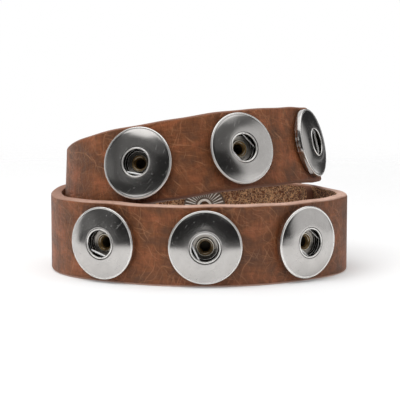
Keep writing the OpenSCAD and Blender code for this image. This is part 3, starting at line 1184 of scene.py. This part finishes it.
@dataclass
class Closure:
    """Snap that holds the two ends: a star flange on the inner one and a cap on the outer one."""

    route: Route
    steps: int = 96
    leather: float = 2.8
    gap: float = 0.2
    flange_r: float = 5.8
    flange_thick: float = 0.5
    ring: tuple[float, float] = (1.5, 2.1)
    rays: int = 34
    ray_in: float = 2.6
    ray_out: float = 5.4
    ray_wide: float = 0.34
    ray_taper: float = 0.45
    ray_high: float = 0.24
    ray_bevel: float = 0.08
    ray_bright_from: float = 0.03
    stud_r: float = 4.6
    stud_gap: float = 0.25
    post_r: float = 1.5
    cap_r: float = 5.4
    cap_h: float = 1.1
    cap_gap: float = 0.28
    cap_dome: float = 0.75

    @property
    def flange_face(self) -> float:
        """Height of the flange's lower face over the inner end's grain side."""
        return -self.leather - self.gap - self.flange_thick

    def flange(self) -> Object:
        """Stamps the inner flange with its raised ring and its rays.

        Returns:
            The flange, its rays on its lower side, at the origin.
        """
        under = -self.leather - self.gap
        face = self.flange_face
        inner, outer = self.ring
        outline = (
            [(inner, face - 0.2)]
            + arc((inner + 0.15, face - 0.2), 0.15, 180, 270, 3)
            + arc((outer - 0.15, face - 0.2), 0.15, 270, 360, 3)
            + [(outer, face - 0.02), (outer + 0.1, face)]
            + arc((self.flange_r - 0.25, face + 0.25), 0.25, -90, 90, 6)
            + [(2.0, under), (2.0, -0.05), (inner, -0.05)]
        )
        disc = turned("closure_flange_metal", outline, self.steps)
        middle = ((self.ray_in + self.ray_out) / 2 * MM, 0, face * MM)
        deselect()
        bpy.ops.mesh.primitive_cube_add(size=MM, location=middle)
        ray = bpy.context.object
        bpy.ops.object.transform_apply(location=True, rotation=True, scale=True)
        edit_all()
        size = (self.ray_out - self.ray_in, self.ray_wide, 2 * self.ray_high)
        bpy.ops.transform.resize(value=size, center_override=middle)
        select_in_mesh(ray, "VERT", lambda v: v.co.x < middle[0])
        bpy.ops.transform.resize(value=(1, self.ray_taper, 1), center_override=middle)
        select_in_mesh(ray, "EDGE", lambda e: all(v.co.z < middle[2] for v in e.verts))
        bpy.ops.mesh.bevel(offset=self.ray_bevel * MM, segments=2, affect="EDGES")
        bpy.ops.mesh.select_all(action="SELECT")
        bpy.ops.mesh.spin(
            steps=self.rays, dupli=True, angle=2 * math.pi, center=(0, 0, 0), axis=(0, 0, 1)
        )
        close_and_smooth(35)
        return joined([disc, ray])

    def snap(self) -> Object:
        """Turns the stud, post and cap that hold the outer end.

        Returns:
            The snap, standing on the inner end's grain side, at the origin.
        """
        ends = self.route.frame(np.array([self.route.close_in, self.route.close_out]))
        between = float((ends[0][1] - ends[0][0]) @ ends[2][0]) - self.leather
        stud_top = between - self.stud_gap
        under = between + self.leather + self.cap_gap
        base = under + self.cap_h - self.cap_dome
        dome = [
            (self.cap_r * math.sin(t), base + self.cap_dome * math.cos(t))
            for t in (math.radians(80 - 80 * k / 12) for k in range(13))
        ]
        outline = (
            [(0, self.gap), (self.stud_r, self.gap), (self.stud_r, stud_top)]
            + [(self.post_r, stud_top), (self.post_r, under), (self.cap_r - 0.1, under)]
            + [(self.cap_r, under + 0.1), (self.cap_r, under + 0.3)]
            + dome
        )
        return turned("closure_snap_metal", outline, self.steps, 30)

    def build(self) -> list[Object]:
        """Models both parts and dresses them.

        Returns:
            The flange and the snap, in place of their CAD nodes.
        """
        raised = self.flange_face - self.ray_bright_from
        pieces = [self.flange(), self.snap()]
        finish_where(pieces[0], [STAMPED_NICKEL, RAISED_NICKEL_PAINTED_HIGHLIGHT], lambda r, z: int(z < raised))
        finish_where(pieces[1], [POLISHED_NICKEL], lambda r, z: 0)
        for piece, node in zip(pieces, ("closure_flange", "closure_snap")):
            piece.data.transform(self.route.standing_on(self.route.close_in, self.leather / 2))
            hand_over(piece, Slot.CLOSURE, node)
        return pieces


@dataclass(frozen=True)
class SoftPanel:
    """One soft white panel of the studio, by direction in degrees; azimuth 0 is the front."""

    azimuth: float
    elevation: float
    half_width: float
    half_height: float
    strength: float
    softness: float = 0.35


@dataclass
class Studio:
    """Pale floor, soft light and the camera at the photograph's angle.

    The room in front of the white floor is dim, so that the polished faces show a dark zone
    between bright panels at the sides, behind and above.
    """

    camera_spot: tuple[float, float, float] = (0.15, -392.03, 62.764)
    camera_tilt: float = 6.543
    lens: float = 134.48
    sensor: float = 36.0
    shift: float = 0.002
    nearest: float = 10.0
    room: float = 0.03
    panels: tuple[SoftPanel, ...] = (
        SoftPanel(-119, 2, 27, 16, 0.85, 0.2),
        SoftPanel(-84, 2, 15, 13, 0.18, 0.5),
        SoftPanel(-68, 8, 18, 24, 0.11, 0.5),
        SoftPanel(-44, 34, 34, 8, 0.13, 0.3),
        SoftPanel(-60, 57, 34, 16, 1.5, 0.1),
        SoftPanel(60, 33, 34, 13, 0.15, 0.4),
        SoftPanel(86, 6, 26, 24, 0.72, 0.35),
        SoftPanel(-156, 15, 34, 40, 0.9),
        SoftPanel(150, -12, 60, 12, 0.3, 0.1),
        SoftPanel(0, 6, 3.2, 3.0, 0.45, 0.12),
    )
    squareness: float = 4.0
    ceiling_rise: tuple[float, float] = (40.0, 56.0)
    ceiling: float = 1.3
    floor_r: float = 1200.0
    floor_fade: tuple[float, float] = (120.0, 450.0)
    floor_glow: float = 0.16
    card_size: tuple[float, float] = (1200.0, 1600.0)
    card_lift: float = 0.5
    card_fade: tuple[float, float] = (82.0, 108.0)
    lamp_spot: tuple[float, float, float] = (-280.0, -300.0, 800.0)
    lamp_turn: tuple[float, float, float] = (0.35, -0.33, 0.0)
    lamp_size: float = 700.0
    lamp_power: float = 4.6

    def camera(self) -> None:
        """Sets the camera where the photograph was taken from."""
        deselect()
        bpy.ops.object.camera_add(
            location=Vector(self.camera_spot) * MM,
            rotation=(math.radians(90 - self.camera_tilt), 0, 0),
        )
        camera = bpy.context.object
        camera.data.sensor_width = self.sensor
        camera.data.lens = self.lens
        camera.data.shift_x = self.shift
        camera.data.clip_start = self.nearest * MM
        bpy.context.scene.camera = camera

    def floor(self) -> None:
        """Lays a pale floor that fades into the white round it."""
        deselect()
        bpy.ops.mesh.primitive_circle_add(vertices=96, radius=self.floor_r * MM, fill_type="NGON")
        floor = just_added("studio_floor")
        material, tree, shader = new_material("pale_paper")
        place = add_node(tree, "TexCoord", output="Object")
        far = add_node(tree, "VectorMath", {"operation": "LENGTH", 0: place}, "Value")
        start, end = self.floor_fade
        fade = {"From Min": start * MM, "From Max": end * MM, "To Min": 1.0, "To Max": 0.0}
        alpha = add_node(tree, "MapRange", {**SOFT_STEP, "Value": far, **fade})
        glow = {"Emission Color": "#FFFFFF", "Emission Strength": self.floor_glow}
        matt = {"Roughness": 0.95, "Specular IOR Level": 0.1}
        fill(shader, {"Base Color": "#E2E2E2", **glow, **matt, "Alpha": alpha})
        floor.data.materials.append(material)

    def card(self) -> None:
        """Lays a dark card beyond the floor's middle, in front and at the right back.

        Only the metal's reflections show it, as the dim room that surrounds the white floor.
        """
        deselect()
        bpy.ops.mesh.primitive_plane_add(size=MM)
        card = just_added("studio_card")
        edit_all()
        bpy.ops.transform.resize(value=(*self.card_size, 1.0))
        bpy.ops.transform.translate(value=(0.0, 0.0, self.card_lift * MM))
        bpy.ops.object.mode_set(mode="OBJECT")
        material, tree, shader = new_material("dark_card")
        place = add_node(tree, "TexCoord", output="Object")
        x, y, _ = add_node(tree, "SeparateXYZ", {"Vector": place}).node.outputs
        reach = add_node(tree, "VectorMath", {"operation": "LENGTH", 0: place}, "Value")
        slant = add_node(tree, "Math", {"operation": "DIVIDE", 0: x, 1: y})
        near, full = self.card_fade
        beyond = (reach, near * MM, full * MM)
        # of each side: a value in metres or a slant, where the card is clear, and where it is dark
        front = (beyond, (y, -0.01, -0.03), (slant, -1.8, -0.35))
        back = (beyond, (y, 0.01, 0.03), (x, 0.0, 0.03), (slant, 1.9, 0.9))
        cover = 0.0
        for limits in (front, back):
            side = 1.0
            for value, clear, dark in limits:
                rise = {"Value": value, "From Min": clear, "From Max": dark}
                share = add_node(tree, "MapRange", {**SOFT_STEP, **rise})
                side = add_node(tree, "Math", {"operation": "MULTIPLY", 0: side, 1: share})
            cover = add_node(tree, "Math", {"operation": "MAXIMUM", 0: cover, 1: side})
        fill(shader, {"Base Color": "#1C1C1C", "Roughness": 0.9, "Alpha": cover})
        card.data.materials.append(material)
        card.visible_camera = False
        card.visible_diffuse = False
        card.visible_shadow = False
        card.visible_transmission = False

    def surround(self) -> None:
        """Surrounds the bracelet with a dim room, its soft panels and a bright ceiling."""
        world = bpy.data.worlds.new("soft_studio")
        bpy.context.scene.world = world
        world.use_nodes = True
        tree = world.node_tree
        tree.nodes.clear()
        sight = add_node(tree, "TexCoord", output="Generated")
        x, y, z = add_node(tree, "SeparateXYZ", {"Vector": sight}).node.outputs
        front = add_node(tree, "Math", {"operation": "MULTIPLY", 0: y, 1: -1.0})
        azimuth = add_node(tree, "Math", {"operation": "ARCTAN2", 0: x, 1: front})
        elevation = add_node(tree, "Math", {"operation": "ARCSINE", 0: z})
        start, end = (math.radians(angle) for angle in self.ceiling_rise)
        rise = {"From Min": start, "From Max": end, "To Min": self.room, "To Max": self.ceiling}
        total = add_node(tree, "MapRange", {**SOFT_STEP, "Value": elevation, **rise})
        for panel in self.panels:
            apart = 0.0
            for offset, centre, half in (
                (azimuth, panel.azimuth, panel.half_width),
                (elevation, panel.elevation, panel.half_height),
            ):
                for step in (
                    {"operation": "SUBTRACT", 1: math.radians(centre)},
                    {"operation": "WRAP", 1: math.pi, 2: -math.pi},
                    {"operation": "DIVIDE", 1: math.radians(half)},
                    {"operation": "ABSOLUTE"},
                    {"operation": "POWER", 1: self.squareness},
                ):
                    offset = add_node(tree, "Math", {**step, 0: offset})
                apart = add_node(tree, "Math", {"operation": "ADD", 0: apart, 1: offset})
            inner, outer = ((1 + way * panel.softness) ** self.squareness for way in (-1, 1))
            fall = {"From Min": inner, "From Max": outer, "To Min": panel.strength, "To Max": 0.0}
            glow = add_node(tree, "MapRange", {**SOFT_STEP, "Value": apart, **fall})
            total = add_node(tree, "Math", {"operation": "MAXIMUM", 0: total, 1: glow})
        seen = add_node(tree, "LightPath", output="Is Camera Ray")
        total = add_node(tree, "Math", {"operation": "MAXIMUM", 0: total, 1: seen})
        sky = add_node(tree, "Background", {"Color": "#FFFFFF", "Strength": total})
        add_node(tree, "OutputWorld", {"Surface": sky})

    def lamp(self) -> None:
        """Hangs a soft square lamp above the bracelet, which the metal doesn't mirror."""
        deselect()
        bpy.ops.object.light_add(
            type="AREA", location=Vector(self.lamp_spot) * MM, rotation=self.lamp_turn
        )
        lamp = bpy.context.object
        lamp.data.shape = "SQUARE"
        lamp.data.size = self.lamp_size * MM
        lamp.data.energy = self.lamp_power
        lamp.visible_glossy = False

    def build(self) -> None:
        """Sets up the camera, the floor, its dark card and the light."""
        for step in (self.camera, self.floor, self.card, self.surround, self.lamp):
            step()
        bpy.context.scene.view_settings.view_transform = "Standard"


def main() -> None:
    """Builds the bracelet class by class."""
    logging.basicConfig(level=logging.INFO, format="%(name)s: %(message)s")
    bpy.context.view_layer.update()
    Studio().build()
    route = Route()
    pieces = [Strap(route).build()]
    pieces += SnapSocket(route).build()
    pieces += Closure(route).build()


if __name__ == "__main__":
    main()
